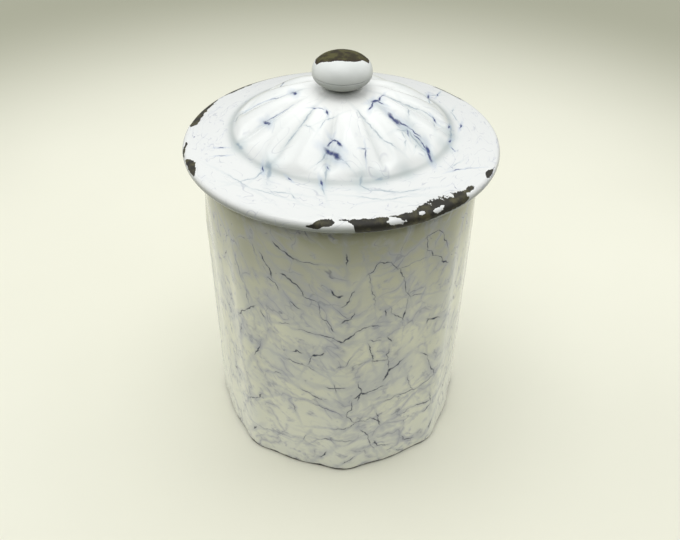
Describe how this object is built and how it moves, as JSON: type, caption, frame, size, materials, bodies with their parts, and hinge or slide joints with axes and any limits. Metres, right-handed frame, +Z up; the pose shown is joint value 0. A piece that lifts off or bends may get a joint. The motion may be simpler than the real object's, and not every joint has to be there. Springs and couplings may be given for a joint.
{
  "type": "powder jar",
  "caption": "Octagonal enamelled sheet-steel powder jar with a round lift-off lid: fluted dome, sloping brim, rolled edges and an oblate ball knob.",
  "frame": {"origin": "middle of the underside of the foot, on the surface that the jar stands on", "axes": "+Z up through the knob; -Y points from the axis to the corner of the octagon that faces the front"},
  "size_m": [0.1404, 0.1404, 0.1937],
  "materials": {
    "body_enamel": "glossy vitreous enamel, warm white marbled with thin blue-black veins",
    "lid_enamel": "glossy vitreous enamel, white with fine cobalt veins, chipped to dark iron at the rim",
    "knob_enamel": "glossy plain white vitreous enamel, worn to dark iron on top",
    "bare_steel": "dull dark mild steel"
  },
  "bodies": {
    "jar": {"body_wall": "body_enamel", "base_pan": "body_enamel", "mouth_wire": "bare_steel"},
    "ring": {"locating_ring": "lid_enamel"},
    "lid": {"lid_shell": "lid_enamel", "lid_rim_wire": "bare_steel", "knob_cap": "knob_enamel", "knob_cup": "knob_enamel", "knob_rivet": "bare_steel", "rivet_washer": "bare_steel"}
  },
  "joints": [
    {"name": "lid_lift", "type": "slide", "parent": "jar", "child": "ring", "axis": [0, 0, 1], "range_m": [0, 0.08]},
    {"name": "lid_turn", "type": "hinge", "parent": "ring", "child": "lid", "pos_m": [0, 0, 0.156], "axis": [0, 0, 1], "continuous": true}
  ]
}
